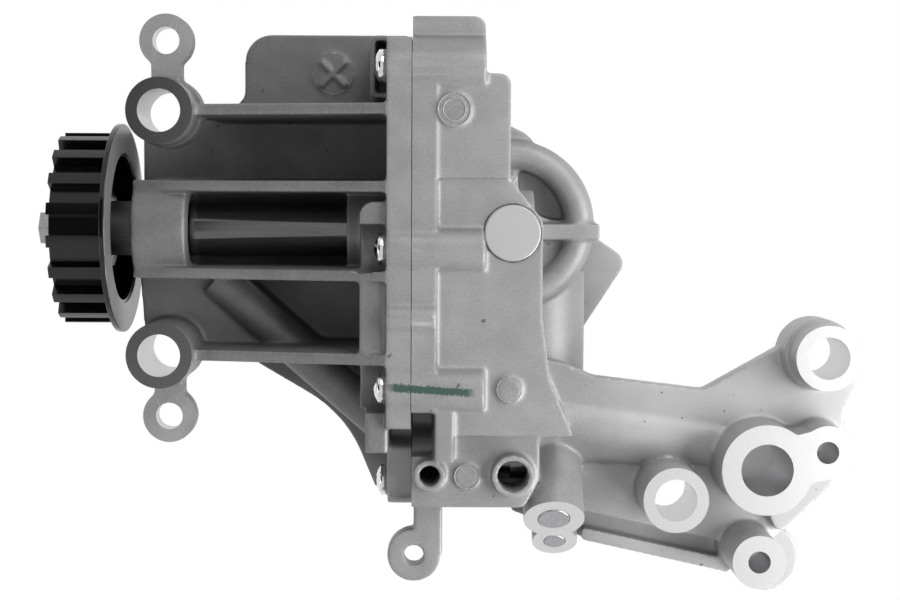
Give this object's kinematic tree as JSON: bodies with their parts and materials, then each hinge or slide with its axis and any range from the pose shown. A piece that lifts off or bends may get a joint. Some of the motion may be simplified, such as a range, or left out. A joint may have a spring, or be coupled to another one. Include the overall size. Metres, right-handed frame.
{
  "type": "engine oil pump",
  "caption": "Belt-driven engine oil pump with a toothed pulley, an open ribbed nose, a gerotor chamber, a relief valve and a side arm with the outlet port.",
  "frame": {"origin": "on the drive shaft's axis, in the middle of the pulley's toothed band", "axes": "+X along the drive shaft from the pulley into the pump, +Z out of the face that bolts to the engine block, +Y across, away from the outlet arm"},
  "size_m": [0.2252, 0.1589, 0.0741],
  "materials": {
    "housing_casting": "die cast and shot blasted, dark",
    "body_casting": "die cast and shot blasted, with machined faces",
    "black_pulley": "glossy black coating",
    "flange_steel": "black coated pressed sheet",
    "turned_steel": "ground",
    "plated_steel": "bright zinc plated",
    "sintered_steel": "sintered",
    "bush_bronze": "plain bearing bronze",
    "plug_metal": "pressed and satin"
  },
  "bodies": {
    "pump": {"front_housing": "housing_casting", "pump_body": "body_casting", "front_bush": "bush_bronze", "rear_bush": "bush_bronze", "housing_screws": "plated_steel", "dowel_pins": "turned_steel", "relief_spring_seat": "turned_steel", "relief_spring": "turned_steel", "core_plug": "plug_metal", "gallery_plug_large": "turned_steel", "gallery_plug_small": "turned_steel"},
    "shaft": {"drive_shaft": "turned_steel", "drive_pulley": "black_pulley", "pulley_flange": "flange_steel", "pulley_bolt": "plated_steel", "pulley_washer": "plated_steel", "pulley_key": "turned_steel", "rotor_key": "turned_steel", "inner_rotor": "sintered_steel"},
    "outer_ring": {"outer_rotor": "sintered_steel"},
    "relief_valve": {"relief_piston": "turned_steel"}
  },
  "joints": [
    {"name": "shaft_spin", "type": "hinge", "parent": "pump", "child": "shaft", "pos_m": [0.05, 0, 0], "axis": [1, 0, 0], "continuous": true},
    {"name": "outer_rotor_spin", "type": "hinge", "parent": "pump", "child": "outer_ring", "pos_m": [0.097, -0.002, 0], "axis": [1, 0, 0], "continuous": true},
    {"name": "relief_slide", "type": "slide", "parent": "pump", "child": "relief_valve", "axis": [-1, 0, 0], "range_m": [0, 0.006], "stiffness_N_per_m": 800, "springref_m": -0.005, "deforming": ["relief_spring"]}
  ],
  "couplings": [
    {"joint": "outer_rotor_spin", "follows": "shaft_spin", "ratio": 0.85714}
  ]
}
